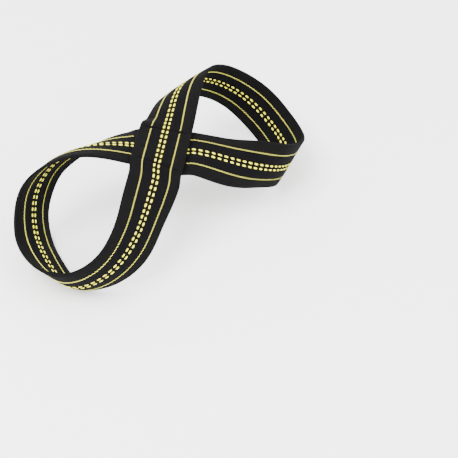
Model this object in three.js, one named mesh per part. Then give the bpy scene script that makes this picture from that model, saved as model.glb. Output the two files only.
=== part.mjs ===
// Figure eight lifting strap: one length of flat webbing, lapped and sewn to itself where it crosses.
// Millimetres, +Z up. The strap lies on its two loop ends with the sewn crossing raised between them.
import * as THREE from 'three';

// Driving sizes
const WEBBING_WIDTH = 38;
const WEBBING_THICKNESS = 2.4;
const SELVEDGE_BEVEL = 0.7;
const STRAP_LENGTH = 693; // once round the figure eight, along the middle of the webbing
const LAP_LENGTH = 28; // the two cut ends overlap this far, hidden in the crossing
const LAYER_GAP = 0.3; // between the layers that are sewn together
const OVER_SEWN = 18; // the upper band is held in the crossing this far from its middle
const UNDER_SEWN = 12; // the lower band is held this far
const RELEASE_LENGTH = 14; // over this further length each band leaves the crossing
const FLOOR_PRESS = 1.2; // the lower selvedges are pressed flat on the floor this deep
const SECTION_STEP = 4.8; // between cross-sections along the webbing

// The sewn crossing: where it lies, how it tips and how the two bands head through it
const CROSSING = {
  height: 0.0868, // share of the strap length
  tipRight: 7, // degrees down to the right
  tipFront: 6, // degrees down to the front
  twist: 7.5, // degrees that each band's width has turned where it leaves the other band's edge
  overHeading: 83, // degrees from right, towards the back
  underHeading: 184.5,
};

// Route of the webbing's middle line, a row each twelfth of the way round a loop.
// right, back and up are shares of the strap length, right and back measured from the crossing.
// lean turns the width about the way of travel, in degrees: 0 lies flat and 90 stands on edge.
// crown is how far the selvedges drop behind the bowed middle, as a share of the webbing width.
const RIGHT_LOOP = [
  { right: 0, back: 0, up: 0.0868, lean: -7, crown: 0.02 },
  { right: 0.0063, back: 0.0386, up: 0.094, lean: 14, crown: 0.06 },
  { right: 0.0133, back: 0.081, up: 0.0974, lean: 32, crown: 0.085 },
  { right: 0.0303, back: 0.119, up: 0.0881, lean: 59, crown: 0.05 },
  { right: 0.0607, back: 0.1431, up: 0.068, lean: 78, crown: 0.01 },
  { right: 0.0964, back: 0.1456, up: 0.0451, lean: 98, crown: 0 },
  { right: 0.1287, back: 0.1292, up: 0.021, lean: 121, crown: 0 },
  { right: 0.1446, back: 0.0868, up: 0.0212, lean: 127, crown: 0.01 },
  { right: 0.1412, back: 0.0468, up: 0.0361, lean: 102, crown: 0.03 },
  { right: 0.1186, back: 0.0188, up: 0.0549, lean: 80, crown: 0.09 },
  { right: 0.0819, back: 0.0058, up: 0.0704, lean: 40, crown: 0.14 },
  { right: 0.041, back: 0.0031, up: 0.082, lean: 14, crown: 0.07 },
];
const LEFT_LOOP = [
  { right: 0, back: 0, up: 0.0868, lean: 6, crown: 0.02 },
  { right: -0.0381, back: -0.0027, up: 0.0897, lean: -10, crown: 0.06 },
  { right: -0.0762, back: -0.0087, up: 0.0877, lean: -36, crown: 0.1 },
  { right: -0.1084, back: -0.0174, up: 0.0713, lean: -61, crown: 0.1 },
  { right: -0.1253, back: -0.0386, up: 0.0448, lean: -107, crown: 0.02 },
  { right: -0.1224, back: -0.067, up: 0.0198, lean: -134, crown: -0.04 },
  { right: -0.1055, back: -0.1022, up: 0.0135, lean: -139, crown: -0.02 },
  { right: -0.0786, back: -0.1321, up: 0.0164, lean: -124, crown: 0.08 },
  { right: -0.0443, back: -0.1313, up: 0.0347, lean: -94, crown: 0.05 },
  { right: -0.0217, back: -0.107, up: 0.054, lean: -59, crown: 0.02 },
  { right: -0.0106, back: -0.0742, up: 0.0684, lean: -41, crown: 0.06 },
  { right: -0.0028, back: -0.04, up: 0.0847, lean: -19, crown: 0.05 },
];

const webbingMaterial = new THREE.MeshStandardMaterial({ color: 0x1b1b1d, roughness: 0.85, metalness: 0 });

const UP = new THREE.Vector3(0, 0, 1);
const radians = THREE.MathUtils.degToRad;

// A closed, evenly curved spline through the rows' values; at(share) reads it once round from 0 to 1.
function closedSpline(values) {
  const count = values.length;
  const near = (list, i) => list[(i + count) % count];
  let controls = [...values];
  for (let pass = 0; pass < 40; pass += 1) {
    controls = controls.map((c, i) => {
      const reached = (near(controls, i - 1) + 4 * c + near(controls, i + 1)) / 6;
      return c + values[i] - reached;
    });
  }
  return (share) => {
    const place = (((share % 1) + 1) % 1) * count;
    const i = Math.floor(place);
    const f = place - i;
    const before = 3 * f ** 3 - 6 * f ** 2 + 4;
    const after = -3 * f ** 3 + 3 * f ** 2 + 3 * f + 1;
    const weights = [(1 - f) ** 3, before, after, f ** 3];
    return weights.reduce((sum, w, k) => sum + (w * near(controls, i + k - 1)) / 6, 0);
  };
}

const rows = [...RIGHT_LOOP, ...LEFT_LOOP];
const columns = {};
for (const name of ['right', 'back', 'up', 'lean', 'crown']) {
  columns[name] = closedSpline(rows.map((row) => row[name]));
}

// The crossing's own plane, and the two straight lines in it that the bands' middles follow
const crossingNormal = new THREE.Vector3(
  Math.tan(radians(CROSSING.tipRight)),
  -Math.tan(radians(CROSSING.tipFront)),
  1,
).normalize();
const crossingCentre = new THREE.Vector3(0, 0, CROSSING.height * STRAP_LENGTH);

function headingInCrossing(degrees) {
  const level = new THREE.Vector3(Math.cos(radians(degrees)), Math.sin(radians(degrees)), 0);
  return level.addScaledVector(crossingNormal, -level.dot(crossingNormal)).normalize();
}

const overLine = headingInCrossing(CROSSING.overHeading);
const underLine = headingInCrossing(CROSSING.underHeading);

// Both bands turn evenly along their lines, so together they form one shallow saddle and lie on each other.
const turnPerLength = Math.tan(radians(CROSSING.twist)) / (WEBBING_WIDTH / 2);
const crossingCosine = overLine.dot(underLine);
const crossingSine = Math.sqrt(1 - crossingCosine ** 2);
const crossingCrown = (-Math.tan(radians(CROSSING.twist)) * crossingCosine) / (2 * crossingSine);
const layerStep = WEBBING_THICKNESS + LAYER_GAP;

function routePoint(share) {
  const point = new THREE.Vector3(columns.right(share), columns.back(share), columns.up(share));
  return point.multiplyScalar(STRAP_LENGTH);
}

// How much a point this far from the crossing belongs to the sewn part, from 1 to 0
function sewnShare(distance, sewnHalf) {
  return 1 - THREE.MathUtils.smoothstep(Math.abs(distance), sewnHalf, sewnHalf + RELEASE_LENGTH);
}

// The cross-section's place and directions at a share of the way round, passing the crossing on a layer
function frameAt(share, crossings) {
  const middle = routePoint(share);
  const travel = routePoint(share + 0.001).sub(routePoint(share - 0.001)).normalize();
  const level = new THREE.Vector3().crossVectors(travel, UP).normalize();
  const upright = new THREE.Vector3().crossVectors(level, travel);
  const lean = radians(columns.lean(share));
  const across = level.multiplyScalar(Math.cos(lean)).addScaledVector(upright, Math.sin(lean));
  let crown = columns.crown(share);
  for (const { at, line, layer, turn, sewnHalf } of crossings) {
    const distance = (share - at) * STRAP_LENGTH;
    const sewn = sewnShare(distance, sewnHalf);
    const straight = crossingCentre.clone().addScaledVector(line, distance);
    const turned = new THREE.Vector3().crossVectors(line, crossingNormal);
    turned.addScaledVector(crossingNormal, turn * turnPerLength * distance);
    middle.lerp(straight, sewn).addScaledVector(crossingNormal, sewn * layer * layerStep);
    travel.lerp(line, sewn).normalize();
    across.lerp(turned.normalize(), sewn);
    crown = THREE.MathUtils.lerp(crown, crossingCrown, sewn);
  }
  across.addScaledVector(travel, -across.dot(travel)).normalize();
  return { middle, across, outward: new THREE.Vector3().crossVectors(across, travel), crown };
}

// The webbing's section, anticlockwise as seen against the way of travel: [across, outward] in millimetres
function sectionOutline() {
  const half = WEBBING_WIDTH / 2;
  const thick = WEBBING_THICKNESS / 2;
  const flatSteps = [-1, -0.5, 0, 0.5, 1].map((step) => step * (half - SELVEDGE_BEVEL));
  const inner = [[-half, -thick + SELVEDGE_BEVEL], ...flatSteps.map((across) => [across, -thick])];
  inner.push([half, -thick + SELVEDGE_BEVEL]);
  return [...inner, ...inner.map(([across, outward]) => [-across, -outward])];
}

function sectionPoints(frame, outline) {
  const narrowed = 1 - (8 / 3) * frame.crown ** 2; // a bowed section of the same width, measured along it
  return outline.map(([across, outward]) => {
    const drop = frame.crown * WEBBING_WIDTH * ((2 * across) / WEBBING_WIDTH) ** 2;
    const point = frame.middle.clone().addScaledVector(frame.across, across * narrowed);
    return point.addScaledVector(frame.outward, outward - drop);
  });
}

// Lifts every section that would reach below the floor level until its lowest point lies on it
function pressOnFloor(sections) {
  const lowest = (points) => Math.min(...points.map((point) => point.z));
  const floor = Math.min(...sections.map(lowest)) + FLOOR_PRESS;
  for (const points of sections) {
    const lift = Math.max(0, floor - lowest(points));
    for (const point of points) point.z += lift;
  }
}

// One closed skin over the sections, with a flat cap on each cut end
function skin(sections) {
  const around = sections[0].length;
  const positions = sections.flat().flatMap((point) => point.toArray());
  const index = [];
  for (let s = 0; s + 1 < sections.length; s += 1) {
    for (let k = 0; k < around; k += 1) {
      const a = s * around + k;
      const b = s * around + ((k + 1) % around);
      index.push(a, a + around, b, b, a + around, b + around);
    }
  }
  const last = (sections.length - 1) * around;
  for (let k = 0; k + 1 < around / 2; k += 1) {
    const [a, b, c, d] = [k, k + 1, around - 2 - k, around - 1 - k];
    index.push(a, b, c, a, c, d);
    index.push(last + a, last + c, last + b, last + a, last + d, last + c);
  }
  const geometry = new THREE.BufferGeometry();
  geometry.setAttribute('position', new THREE.Float32BufferAttribute(positions, 3));
  geometry.setIndex(index);
  geometry.computeVertexNormals();
  return geometry;
}

// The webbing starts in the middle layer of the crossing, runs round the left loop, over the crossing,
// round the right loop, and ends in the bottom layer, lapped under its own start.
function webbing() {
  const lapShare = LAP_LENGTH / 2 / STRAP_LENGTH;
  const start = 0.5 - lapShare;
  const end = 1.5 + lapShare;
  const steps = Math.round(((end - start) * STRAP_LENGTH) / SECTION_STEP);
  const crossings = [
    { at: 0.5, line: underLine, layer: 0, turn: -1, sewnHalf: UNDER_SEWN },
    { at: 1, line: overLine, layer: 1, turn: 1, sewnHalf: OVER_SEWN },
    { at: 1.5, line: underLine, layer: -1, turn: -1, sewnHalf: UNDER_SEWN },
  ];
  const outline = sectionOutline();
  const sections = [];
  for (let step = 0; step <= steps; step += 1) {
    const share = start + ((end - start) * step) / steps;
    sections.push(sectionPoints(frameAt(share, crossings), outline));
  }
  pressOnFloor(sections);
  const mesh = new THREE.Mesh(skin(sections), webbingMaterial);
  mesh.name = 'webbing';
  return mesh;
}

// The origin is the middle of the strap's footprint on the floor
const strap = webbing();
strap.geometry.computeBoundingBox();
const { min, max } = strap.geometry.boundingBox;
strap.geometry.translate(-(min.x + max.x) / 2, -(min.y + max.y) / 2, -min.z);

const group = new THREE.Group();
group.add(strap);
export default group;
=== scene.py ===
import math

import bpy
import numpy as np
from mathutils import Matrix, Vector


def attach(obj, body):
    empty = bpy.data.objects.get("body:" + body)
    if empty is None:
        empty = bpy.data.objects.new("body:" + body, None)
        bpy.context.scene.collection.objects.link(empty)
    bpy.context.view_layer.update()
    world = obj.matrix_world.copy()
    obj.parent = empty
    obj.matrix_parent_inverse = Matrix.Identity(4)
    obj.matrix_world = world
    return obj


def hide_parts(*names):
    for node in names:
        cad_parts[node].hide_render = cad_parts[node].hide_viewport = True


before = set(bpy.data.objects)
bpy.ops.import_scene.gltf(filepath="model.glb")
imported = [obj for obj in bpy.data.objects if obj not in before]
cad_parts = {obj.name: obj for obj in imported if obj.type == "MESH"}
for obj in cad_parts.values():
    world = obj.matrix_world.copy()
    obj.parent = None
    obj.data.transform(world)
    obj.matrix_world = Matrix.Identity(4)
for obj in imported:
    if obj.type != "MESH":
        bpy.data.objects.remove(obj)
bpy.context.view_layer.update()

# Sizes in millimetres, the same as in the part
MM = 0.001
WIDTH = 38.0
THICKNESS = 2.4
BEVEL = 0.7
LENGTH = 693.0
LAP = 28.0
LAYER_GAP = 0.3
OVER_SEWN = 18.0
UNDER_SEWN = 12.0
RELEASE = 14.0
FLOOR_PRESS = 1.2
CAD_STEP = 4.8

HALF_WIDTH = WIDTH / 2
HALF_THICK = THICKNESS / 2
FLAT_HALF = HALF_WIDTH - BEVEL

# The crossing: its height as a share of LENGTH, its tips, headings and twist in degrees
CROSSING_HEIGHT = 0.0868
TIP_RIGHT, TIP_FRONT = 7.0, 6.0
OVER_HEADING, UNDER_HEADING = 83.0, 184.5
TWIST = 7.5

# Route of the webbing's middle line. Right, back and up are shares of LENGTH,
# lean is in degrees, and crown is a share of WIDTH.
RIGHT_LOOP = [
    (0, 0, CROSSING_HEIGHT, -7, 0.02),
    (0.0063, 0.0386, 0.094, 14, 0.06),
    (0.0133, 0.081, 0.0974, 32, 0.085),
    (0.0303, 0.119, 0.0881, 59, 0.05),
    (0.0607, 0.1431, 0.068, 78, 0.01),
    (0.0964, 0.1456, 0.0451, 98, 0),
    (0.1287, 0.1292, 0.021, 121, 0),
    (0.1446, 0.0868, 0.0212, 127, 0.01),
    (0.1412, 0.0468, 0.0361, 102, 0.03),
    (0.1186, 0.0188, 0.0549, 80, 0.09),
    (0.0819, 0.0058, 0.0704, 40, 0.14),
    (0.041, 0.0031, 0.082, 14, 0.07),
]
LEFT_LOOP = [
    (0, 0, CROSSING_HEIGHT, 6, 0.02),
    (-0.0381, -0.0027, 0.0897, -10, 0.06),
    (-0.0762, -0.0087, 0.0877, -36, 0.1),
    (-0.1084, -0.0174, 0.0713, -61, 0.1),
    (-0.1253, -0.0386, 0.0448, -107, 0.02),
    (-0.1224, -0.067, 0.0198, -134, -0.04),
    (-0.1055, -0.1022, 0.0135, -139, -0.02),
    (-0.0786, -0.1321, 0.0164, -124, 0.08),
    (-0.0443, -0.1313, 0.0347, -94, 0.05),
    (-0.0217, -0.107, 0.054, -59, 0.02),
    (-0.0106, -0.0742, 0.0684, -41, 0.06),
    (-0.0028, -0.04, 0.0847, -19, 0.05),
]

# Weave, in millimetres. Ribs lie across the webbing, and warp ends along it.
RIB_PITCH = 1.25
RIB_DEPTH = 0.14
END_PITCH = 0.62
FACE_POINTS = 19
SELVEDGE_TURNS = (60, 30, 0, -30, -60)

# Yellow dots, each a float of strands side by side, in two rows beside the middle line
DOT_PITCH = 4.76
DOT_ROW = 1.6
DOT_LENGTH = 3.0
DOT_WIDTH = 1.3
DOT_HEIGHT = 0.42
DOT_SLANT = 0.05
DOT_STRANDS = 3
DOT_SIZES = (0.94, 1.05)
STRAND_SIZES = (0.95, 1.03)
STRAND_HALF = 0.56
STRAND_TAPER = 0.65
STRAND_GATHER = 0.28
STRAND_STAGGER = 0.12
OUTER_SHORTER = 0.12
OUTER_LOWER = 0.25
SEWN_SHORTER = 0.3
SEWN_LOWER = 0.45
YARN_BED = 0.12
YARN_END = 0.1

# Zigzag lines of short slanting strokes, one near each border
ZIGZAG_ROW = 10.45
ZIGZAG_PITCH = 2.45
ZIGZAG_SWING = 0.46
ZIGZAG_STROKE = 2.5
ZIGZAG_YARN = 0.2
ZIGZAG_TAPER = 0.7
ZIGZAG_LIFT = 0.14
ZIGZAG_END = 0.06
ZIGZAG_RISE = 0.12
ZIGZAG_BREAK = 0.4

# Sewn rows, placed along the upper band from the crossing's middle
SEAM_ROWS = (15.7, -17.6)
SEAM_REACH = 15.0
SEAM_FADE = 2.0
SEAM_DENT = 0.2
SEAM_DENT_WIDTH = 0.9
STITCH_PITCH = 3.0
STITCH_LENGTH = 2.5
THREAD = 0.3
THREAD_TAPER = 0.4
THREAD_END = 0.1
THREAD_RISE = 0.16

UP = np.array([0.0, 0.0, 1.0])


def unit(vectors):
    return vectors / np.linalg.norm(vectors, axis=-1, keepdims=True)


def smoothstep(value, low, high):
    t = np.clip((value - low) / (high - low), 0, 1)
    return t * t * (3 - 2 * t)


def closed_spline(rows):
    """A closed cubic spline through the rows, read by share of the way round."""
    count = len(rows)
    one = np.eye(count)
    system = (4 * one + np.roll(one, 1, 0) + np.roll(one, -1, 0)) / 6
    controls = np.linalg.solve(system, np.array(rows, float))

    def at(share):
        place = (np.asarray(share, float) % 1.0) * count
        i = np.floor(place).astype(int)
        f = (place - i)[..., None]
        weights = (
            (1 - f) ** 3,
            3 * f**3 - 6 * f**2 + 4,
            -3 * f**3 + 3 * f**2 + 3 * f + 1,
            f**3,
        )
        return sum(w * controls[(i + k - 1) % count] for k, w in enumerate(weights)) / 6

    return at


route = closed_spline(RIGHT_LOOP + LEFT_LOOP)
STEP_ASIDE = 0.001

slopes = [math.tan(math.radians(TIP_RIGHT)), -math.tan(math.radians(TIP_FRONT)), 1.0]
normal = unit(np.array(slopes))
centre = np.array([0.0, 0.0, CROSSING_HEIGHT * LENGTH])


def heading(degrees):
    """A level direction laid into the crossing's plane."""
    level = np.array([math.cos(math.radians(degrees)), math.sin(math.radians(degrees)), 0.0])
    return unit(level - normal * (level @ normal))


over_line, under_line = heading(OVER_HEADING), heading(UNDER_HEADING)
twist_tangent = math.tan(math.radians(TWIST))
crossing_cosine = float(over_line @ under_line)
crossing_crown = -twist_tangent * crossing_cosine / (2 * math.sqrt(1 - crossing_cosine**2))

# Each pass through the crossing: share of the way round, line, layer, turn, length held each way
CROSSINGS = (
    (0.5, under_line, 0, -1, UNDER_SEWN),
    (1.0, over_line, 1, 1, OVER_SEWN),
    (1.5, under_line, -1, -1, UNDER_SEWN),
)
START = 0.5 - LAP / 2 / LENGTH
END = 1.5 + LAP / 2 / LENGTH


def frames(share):
    """Middle, across and outward directions, and crown, at shares of the way round."""
    rows = route(share)
    middle = rows[:, :3] * LENGTH
    travel = unit(route(share + STEP_ASIDE)[:, :3] - route(share - STEP_ASIDE)[:, :3])
    level = unit(np.cross(travel, UP))
    upright = np.cross(level, travel)
    lean = np.radians(rows[:, 3:4])
    across = level * np.cos(lean) + upright * np.sin(lean)
    crown = rows[:, 4:5]
    for at, line, layer, turn, sewn_half in CROSSINGS:
        distance = ((share - at) * LENGTH)[:, None]
        sewn = 1 - smoothstep(np.abs(distance), sewn_half, sewn_half + RELEASE)
        straight = centre + distance * line
        twisted = normal * turn * twist_tangent / HALF_WIDTH * distance
        turned = unit(np.cross(line, normal) + twisted)
        lifted = normal * sewn * layer * (THICKNESS + LAYER_GAP)
        middle = middle + (straight - middle) * sewn + lifted
        travel = unit(travel + (line - travel) * sewn)
        across = across + (turned - across) * sewn
        crown = crown + (crossing_crown - crown) * sewn
    across = unit(across - travel * np.sum(across * travel, axis=1, keepdims=True))
    return middle, across, np.cross(across, travel), crown


def raw_points(share, across, outward):
    """Places in millimetres before the floor and the origin. An arched section keeps its width."""
    middle, side, out, crown = frames(share)
    across, outward = across[:, None], outward[:, None]
    drop = crown * WIDTH * (2 * across / WIDTH) ** 2
    return middle + side * across * (1 - 8 / 3 * crown**2) + out * (outward - drop)


# The part's own cross-sections give the floor level and the origin
cad_across = np.array([-HALF_WIDTH, *(k * FLAT_HALF for k in (-1, -0.5, 0, 0.5, 1)), HALF_WIDTH])
cad_outward = np.array([-HALF_THICK + BEVEL] + [-HALF_THICK] * 5 + [-HALF_THICK + BEVEL])
cad_side = np.stack([cad_across, cad_outward], 1)
cad_outline = np.concatenate([cad_side, -cad_side])


def outline_points(share):
    count = len(cad_outline)
    every = np.repeat(share, count)
    sides = np.tile(cad_outline, (len(share), 1))
    return raw_points(every, sides[:, 0], sides[:, 1]).reshape(len(share), count, 3)


cad_steps = round((END - START) * LENGTH / CAD_STEP)
cad_sections = outline_points(np.linspace(START, END, cad_steps + 1))
floor_level = cad_sections[..., 2].min() + FLOOR_PRESS
cad_sections[..., 2] += np.maximum(0, floor_level - cad_sections[..., 2].min(1))[:, None]
low, high = cad_sections.min((0, 1)), cad_sections.max((0, 1))
origin = np.array([(low[0] + high[0]) / 2, (low[1] + high[1]) / 2, low[2]])


def seam_dent(share, across):
    """How deep the sewn rows press into the upper band's face, in millimetres."""
    distance = (share - 1.0) * LENGTH
    dent = sum(np.exp(-(((distance - row) / SEAM_DENT_WIDTH) ** 2)) for row in SEAM_ROWS)
    return SEAM_DENT * dent * (1 - smoothstep(np.abs(across), SEAM_REACH, SEAM_REACH + SEAM_FADE))


def points(share, across, outward):
    """Places on the webbing in metres, from shares of the way round and millimetres."""
    outward = outward - np.where(outward > 0, seam_dent(share, across), 0)
    place = raw_points(share, across, outward)
    keys, back = np.unique(share, return_inverse=True)
    lowest = outline_points(keys)[..., 2].min(1)
    place[:, 2] += np.maximum(0, floor_level - lowest)[back]
    place = (place - origin) * MM
    place[:, 2] = np.maximum(place[:, 2], 0)
    return place


def touching(share, face):
    """Whether a face lies against another layer of the crossing, so no pattern shows there."""
    lap_reach = LAP / 2 + 1
    band_reach = HALF_WIDTH + 0.5
    start, over, finish = (abs(share - at) * LENGTH for at in (0.5, 1.0, 1.5))
    if face > 0:
        return start < band_reach or finish < max(HALF_WIDTH, lap_reach)
    return over < band_reach or start < lap_reach


# Materials
def material(name, colour, roughness, specular):
    made = bpy.data.materials.new(name)
    made.use_nodes = True
    shader = made.node_tree.nodes["Principled BSDF"]
    shader.inputs["Base Color"].default_value = (*colour, 1)
    shader.inputs["Roughness"].default_value = roughness
    shader.inputs["Specular IOR Level"].default_value = specular
    return made, made.node_tree, shader


def add(tree, kind, **settings):
    node = tree.nodes.new(kind)
    for name, value in settings.items():
        setattr(node, name, value)
    return node


def feed(tree, socket, value):
    """Link another node's output to a socket, or set it to a plain value."""
    if hasattr(value, "is_linked"):
        tree.links.new(value, socket)
    else:
        socket.default_value = value


def math_node(tree, operation, *values):
    node = add(tree, "ShaderNodeMath", operation=operation)
    for slot, value in enumerate(values):
        feed(tree, node.inputs[slot], value)
    return node.outputs[0]


def humps(tree, value, power):
    """Rounded humps, one to each whole step of the value."""
    sine = math_node(tree, "SINE", math_node(tree, "MULTIPLY", value, math.pi))
    return math_node(tree, "POWER", math_node(tree, "ABSOLUTE", sine), power)


def mix_colour(tree, factor, first, second):
    node = add(tree, "ShaderNodeMix", data_type="RGBA")
    feed(tree, node.inputs[0], factor)
    for slot, colour in ((6, first), (7, second)):
        feed(tree, node.inputs[slot], (*colour, 1) if isinstance(colour, tuple) else colour)
    return node.outputs[2]


def noise(tree, vector, scale, detail):
    node = add(tree, "ShaderNodeTexNoise")
    node.inputs["Scale"].default_value = scale
    node.inputs["Detail"].default_value = detail
    tree.links.new(vector, node.inputs["Vector"])
    return node.outputs["Fac"]


def bump(tree, shader, height, distance):
    node = add(tree, "ShaderNodeBump")
    node.inputs["Strength"].default_value = 1
    node.inputs["Distance"].default_value = distance
    tree.links.new(height, node.inputs["Height"])
    tree.links.new(node.outputs[0], shader.inputs["Normal"])


def webbing_material():
    base = (0.003, 0.003, 0.0035)
    made, tree, shader = material("webbing_black", base, roughness=0.85, specular=0.04)
    place = add(tree, "ShaderNodeUVMap", uv_map="weave").outputs[0]
    split = add(tree, "ShaderNodeSeparateXYZ")
    tree.links.new(place, split.inputs[0])
    across, along = split.outputs[0], split.outputs[1]
    # Warp ends side by side, each passing over every second rib, neighbours half a step apart
    column = math_node(tree, "DIVIDE", across, END_PITCH)
    parity = math_node(tree, "MULTIPLY", math_node(tree, "FLOOR", column), 0.5)
    step = math_node(tree, "ADD", math_node(tree, "DIVIDE", along, 2 * RIB_PITCH), parity)
    ribs, ends = humps(tree, step, power=0.6), humps(tree, column, power=0.5)
    weave = math_node(tree, "MULTIPLY", ribs, ends)
    fuzz = noise(tree, place, scale=2.6, detail=4.0)
    height = math_node(tree, "ADD", weave, math_node(tree, "MULTIPLY", fuzz, 0.35))
    bump(tree, shader, height, distance=0.00022)
    # The middle panel is woven of a bluer, deeper black than the borders
    border, middle = (0.0028, 0.0027, 0.0027), (0.0017, 0.0016, 0.0023)
    # Lighter colour for the rib crests: partly wear, partly painted sheen where the crests catch
    # the light
    crest_wear_and_sheen_colour = (0.0065, 0.0065, 0.007)
    inside = math_node(tree, "LESS_THAN", math_node(tree, "ABSOLUTE", across), ZIGZAG_ROW)
    panel = mix_colour(tree, inside, border, middle)
    cloudy = noise(tree, place, scale=0.09, detail=2.0)
    # Painted sheen and wear: the rib crests are lightened in cloudy patches
    crest_wear_and_sheen = math_node(tree, "MULTIPLY", math_node(tree, "MULTIPLY", weave, cloudy), 0.55)
    tree.links.new(mix_colour(tree, crest_wear_and_sheen, panel, crest_wear_and_sheen_colour), shader.inputs["Base Color"])
    rough = math_node(tree, "ADD", 0.66, math_node(tree, "MULTIPLY", fuzz, 0.25))
    tree.links.new(rough, shader.inputs["Roughness"])
    return made


def yarn_material(name, colour, shade, scale, roughness=0.6, specular=0.3):
    """Twisted yarn: fine fibres that vary between the colour and its shade."""
    made, tree, shader = material(name, colour, roughness, specular)
    place = add(tree, "ShaderNodeTexCoord")
    fibres = noise(tree, place.outputs["Object"], scale, detail=3.0)
    spread = add(tree, "ShaderNodeMapRange")
    spread.inputs["From Min"].default_value = 0.35
    spread.inputs["From Max"].default_value = 0.65
    tree.links.new(fibres, spread.inputs["Value"])
    tree.links.new(mix_colour(tree, spread.outputs[0], shade, colour), shader.inputs["Base Color"])
    bump(tree, shader, fibres, distance=0.00012)
    return made


def floor_material():
    made, tree, shader = material("pale_floor", (0.95, 0.95, 0.95), roughness=0.7, specular=0.2)
    place = add(tree, "ShaderNodeTexCoord")
    grain = noise(tree, place.outputs["Object"], scale=60.0, detail=4.0)
    tone = mix_colour(tree, grain, (0.945, 0.945, 0.945), (0.96, 0.96, 0.96))
    tree.links.new(tone, shader.inputs["Base Color"])
    return made


def piece(name, verts, faces, made, slot=None, uv=None):
    mesh = bpy.data.meshes.new(name)
    mesh.from_pydata([tuple(v) for v in verts], [], [tuple(f) for f in faces])
    if uv is not None:
        layer = mesh.uv_layers.new(name="weave")
        corners = np.zeros(len(mesh.loops), dtype=np.int32)
        mesh.loops.foreach_get("vertex_index", corners)
        layer.data.foreach_set("uv", uv[corners].astype(np.float32).ravel())
    mesh.polygons.foreach_set("use_smooth", [True] * len(mesh.polygons))
    mesh.update()
    obj = bpy.data.objects.new(name, mesh)
    bpy.context.scene.collection.objects.link(obj)
    mesh.materials.append(made)
    if slot:
        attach(obj, "root")
    return obj


def webbing():
    """The band: a section every half rib, crest and trough in turn."""
    top = np.linspace(FLAT_HALF, -FLAT_HALF, FACE_POINTS)
    turn = np.radians(SELVEDGE_TURNS)
    left = np.stack([-FLAT_HALF - BEVEL * np.cos(turn), HALF_THICK * np.sin(turn)], 1)
    right = left[::-1] * (-1, 1)
    upper = np.stack([top, np.full(FACE_POINTS, HALF_THICK)], 1)
    ring = np.concatenate([upper, left, upper[::-1] * (1, -1), right])
    around = len(ring)
    count = round((END - START) * LENGTH / (RIB_PITCH / 2))
    share = np.repeat(np.linspace(START, END, count + 1), around)
    trough = np.repeat(np.arange(count + 1) % 2 * RIB_DEPTH, around)
    sides = np.tile(ring, (count + 1, 1))
    on_face = np.abs(sides[:, 0]) <= FLAT_HALF + 1e-6
    across = sides[:, 0] - np.where(on_face, 0, np.sign(sides[:, 0]) * trough)
    outward = sides[:, 1] - np.where(on_face, np.sign(sides[:, 1]) * trough, 0)
    s, k = np.meshgrid(np.arange(count), np.arange(around), indexing="ij")
    a = (s * around + k).ravel()
    b = (s * around + (k + 1) % around).ravel()
    faces = np.stack([a, a + around, b + around, b], 1).tolist()
    last = count * around
    faces += [list(range(around)), list(range(last, last + around))[::-1]]
    uv = np.stack([sides[:, 0], (share - START) * LENGTH], 1)
    verts = points(share, across, outward)
    return piece("webbing_band", verts, faces, webbing_material(), "webbing", uv)


def rings(share, across, outward, wide, tall, sides, along=False):
    """The rings of one tube. Their width lies across the band, or along it."""
    turn = np.linspace(0, 2 * math.pi, sides, endpoint=False)
    spread = wide[:, None] * np.cos(turn)
    columns = (
        share[:, None] + (spread / LENGTH if along else 0),
        across[:, None] + (0 if along else spread),
        outward[:, None] + tall[:, None] * np.sin(turn),
    )
    return np.stack(np.broadcast_arrays(*columns), 2)


def tubes(every, name, made, slot):
    """One mesh of many closed tubes."""
    verts, faces, first = [], [], 0
    for tube in every:
        count, sides = tube.shape[:2]
        for s in range(count - 1):
            for k in range(sides):
                p, q = first + s * sides + k, first + s * sides + (k + 1) % sides
                faces.append((p, p + sides, q + sides, q))
        last = first + (count - 1) * sides
        faces.append(tuple(range(first, first + sides)))
        faces.append(tuple(reversed(range(last, last + sides))))
        verts.append(tube.reshape(-1, 3))
        first = last + sides
    table = np.concatenate(verts)
    return piece(name, points(table[:, 0], table[:, 1], table[:, 2]), faces, made, slot)


def fullness(t):
    """How full a yarn is, from its ends at -1 and 1 to its middle at 0."""
    return np.sqrt(np.clip(1 - t**2, 0, 1))


def pattern_places(row, pitch):
    """Face, row and share of every place of a pattern that no other layer covers."""
    for face in (1, -1):
        for side in (-row, row):
            for number in range(int((END - START) * LENGTH / pitch)):
                share = START + (number + 0.5) * pitch / LENGTH
                if not touching(share, face):
                    yield face, side, share


def dot_rings():
    t = np.array([-1, -0.8, -0.45, 0, 0.45, 0.8, 1])
    full = fullness(t)
    pitch = DOT_WIDTH / DOT_STRANDS
    vary = np.random.default_rng(7)
    for face, row, share in pattern_places(DOT_ROW, DOT_PITCH):
        sunk = min(1.0, seam_dent(share, 0.0) / SEAM_DENT) if face > 0 else 0.0
        size = vary.uniform(*DOT_SIZES) * (1 - SEWN_SHORTER * sunk)
        for strand in range(DOT_STRANDS):
            outer = strand - (DOT_STRANDS - 1) / 2
            side = outer * pitch
            shorter = 1 - OUTER_SHORTER * abs(outer)
            reach = DOT_LENGTH / 2 * size * shorter * vary.uniform(*STRAND_SIZES)
            along = t * reach + STRAND_STAGGER * side * face
            lift = DOT_HEIGHT * (1 - SEWN_LOWER * sunk) * (1 - OUTER_LOWER * abs(outer))
            rise = (lift - YARN_END) * full**0.8 / 2
            yield rings(
                share + along / LENGTH,
                row + side * (1 - STRAND_GATHER * (1 - full)) + DOT_SLANT * along * face,
                face * (HALF_THICK - YARN_BED + rise),
                pitch * STRAND_HALF * (1 - STRAND_TAPER * (1 - full)),
                YARN_END + rise,
                sides=6,
            )


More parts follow.
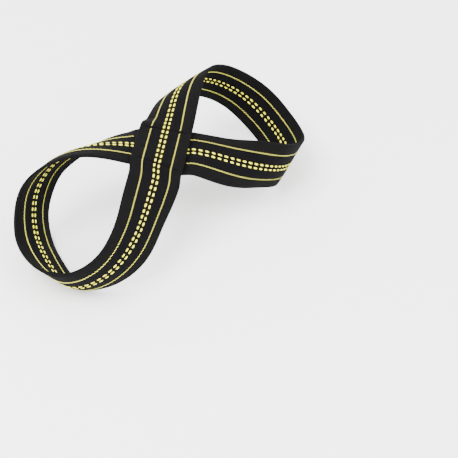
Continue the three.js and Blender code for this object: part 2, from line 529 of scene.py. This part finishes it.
def zigzag_rings():
    """Slanting strokes one after another, each diving under the next."""
    t = np.array([-1, -0.75, -0.4, 0, 0.4, 0.75, 1])
    full = fullness(t)
    for face, row, share in pattern_places(ZIGZAG_ROW, ZIGZAG_PITCH):
        if face > 0 and seam_dent(share, row) > ZIGZAG_BREAK * SEAM_DENT:
            continue
        yield rings(
            share + t * ZIGZAG_STROKE / 2 / LENGTH,
            row + ZIGZAG_SWING * t,
            face * (HALF_THICK - YARN_BED + ZIGZAG_LIFT * full),
            ZIGZAG_YARN * (1 - ZIGZAG_TAPER * (1 - full)),
            ZIGZAG_END + ZIGZAG_RISE * full,
            sides=5,
        )


def seam_rings():
    """Thread rows on both outer faces of the crossing."""
    t = np.linspace(-1, 1, 7)
    full = fullness(t)
    size = THREAD * (1 - THREAD_TAPER * (1 - full))
    height = HALF_THICK + THREAD_END + THREAD_RISE * full
    for row in SEAM_ROWS:
        for number in range(int(2 * SEAM_REACH / STITCH_PITCH)):
            middle = -SEAM_REACH + (number + 0.5) * STITCH_PITCH
            run = middle - t * STITCH_LENGTH / 2
            yield rings(1.0 + row / LENGTH + 0 * t, run, height, size, size, sides=8, along=True)
            # Below, stitches lie on the lapped end, and past it on the band that it covers
            below = 1.5 if middle > -LAP / 2 + STITCH_LENGTH else 0.5
            yield rings(below - run / LENGTH, row + 0 * t, -height, size, size, sides=8)


band = webbing()
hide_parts("webbing")
yellow = yarn_material("yellow_yarn", (0.95, 0.93, 0.07), (0.82, 0.78, 0.04), scale=1800.0)
pale = yarn_material("pale_yarn", (0.95, 0.93, 0.14), (0.75, 0.72, 0.08), scale=1800.0)
black, shade = (0.003, 0.003, 0.0033), (0.0015, 0.0015, 0.0018)
thread = yarn_material("sewing_thread", black, shade, scale=2500.0, roughness=0.9, specular=0.03)
dots = tubes(dot_rings(), "dot_floats", yellow, "yellow_yarn")
zigzags = tubes(zigzag_rings(), "zigzag_yarns", pale, "yellow_yarn")
seams = tubes(seam_rings(), "seam_thread", thread, "sewing_thread")

# Floor, light and camera, in metres
FLOOR_HALF = 3.0
FLOOR_DROP = 0.0002
WORLD_STRENGTH = 3.1
SOFTBOX_SIZE = 0.9
SOFTBOX_TARGET = (0, 0, 0.04)

corners = [(x * FLOOR_HALF, y * FLOOR_HALF, 0) for x, y in ((-1, -1), (1, -1), (1, 1), (-1, 1))]
floor = piece("floor", corners, [(0, 1, 2, 3)], floor_material())
floor.location.z = -FLOOR_DROP

world = bpy.data.worlds.new("studio")
bpy.context.scene.world = world
world.use_nodes = True
background = world.node_tree.nodes["Background"]
background.inputs["Color"].default_value = (1, 1, 1, 1)
background.inputs["Strength"].default_value = WORLD_STRENGTH


def softbox(name, place, power):
    light = bpy.data.lights.new(name, "AREA")
    light.energy = power
    light.size = SOFTBOX_SIZE
    obj = bpy.data.objects.new(name, light)
    bpy.context.scene.collection.objects.link(obj)
    obj.location = place
    obj.rotation_mode = "QUATERNION"
    obj.rotation_quaternion = (Vector(SOFTBOX_TARGET) - Vector(place)).to_track_quat("-Z", "Y")


softbox("key", (-0.7, -0.5, 1.3), power=48)
softbox("fill", (1.0, -0.4, 0.9), power=16)

# The camera stands as the photograph's did: it sees AIM, beside the crossing, at AIM_PIXEL,
# with DISTANCE between that place and the lens along the view
ELEVATION, AZIMUTH, ROLL = (math.radians(a) for a in (46.14, -5.4, 7.99))
DISTANCE = 0.657
FOCAL_PIXELS = 924.0
FRAME_PIXELS = 458.0
SENSOR = 36.0
AIM_PIXEL = (161.4, 146.3)
AIM = Vector((-0.00647, -0.0022, 0.06536))

level_reach = math.cos(ELEVATION)
back = Vector((
    level_reach * math.sin(AZIMUTH),
    -level_reach * math.cos(AZIMUTH),
    math.sin(ELEVATION),
))
level = Vector((math.cos(AZIMUTH), math.sin(AZIMUTH), 0))
upright = back.cross(level)
across = math.cos(ROLL) * level + math.sin(ROLL) * upright
upward = math.cos(ROLL) * upright - math.sin(ROLL) * level

camera = bpy.data.objects.new("camera", bpy.data.cameras.new("camera"))
bpy.context.scene.collection.objects.link(camera)
camera.data.sensor_width = SENSOR
camera.data.lens = FOCAL_PIXELS / FRAME_PIXELS * SENSOR
metre = FOCAL_PIXELS / DISTANCE
shift_x, shift_y = ((p - FRAME_PIXELS / 2) / metre for p in AIM_PIXEL)
place = AIM + back * DISTANCE - across * shift_x + upward * shift_y
turned = Matrix((across, upward, back)).transposed().to_4x4()
camera.matrix_world = Matrix.Translation(place) @ turned
bpy.context.scene.camera = camera
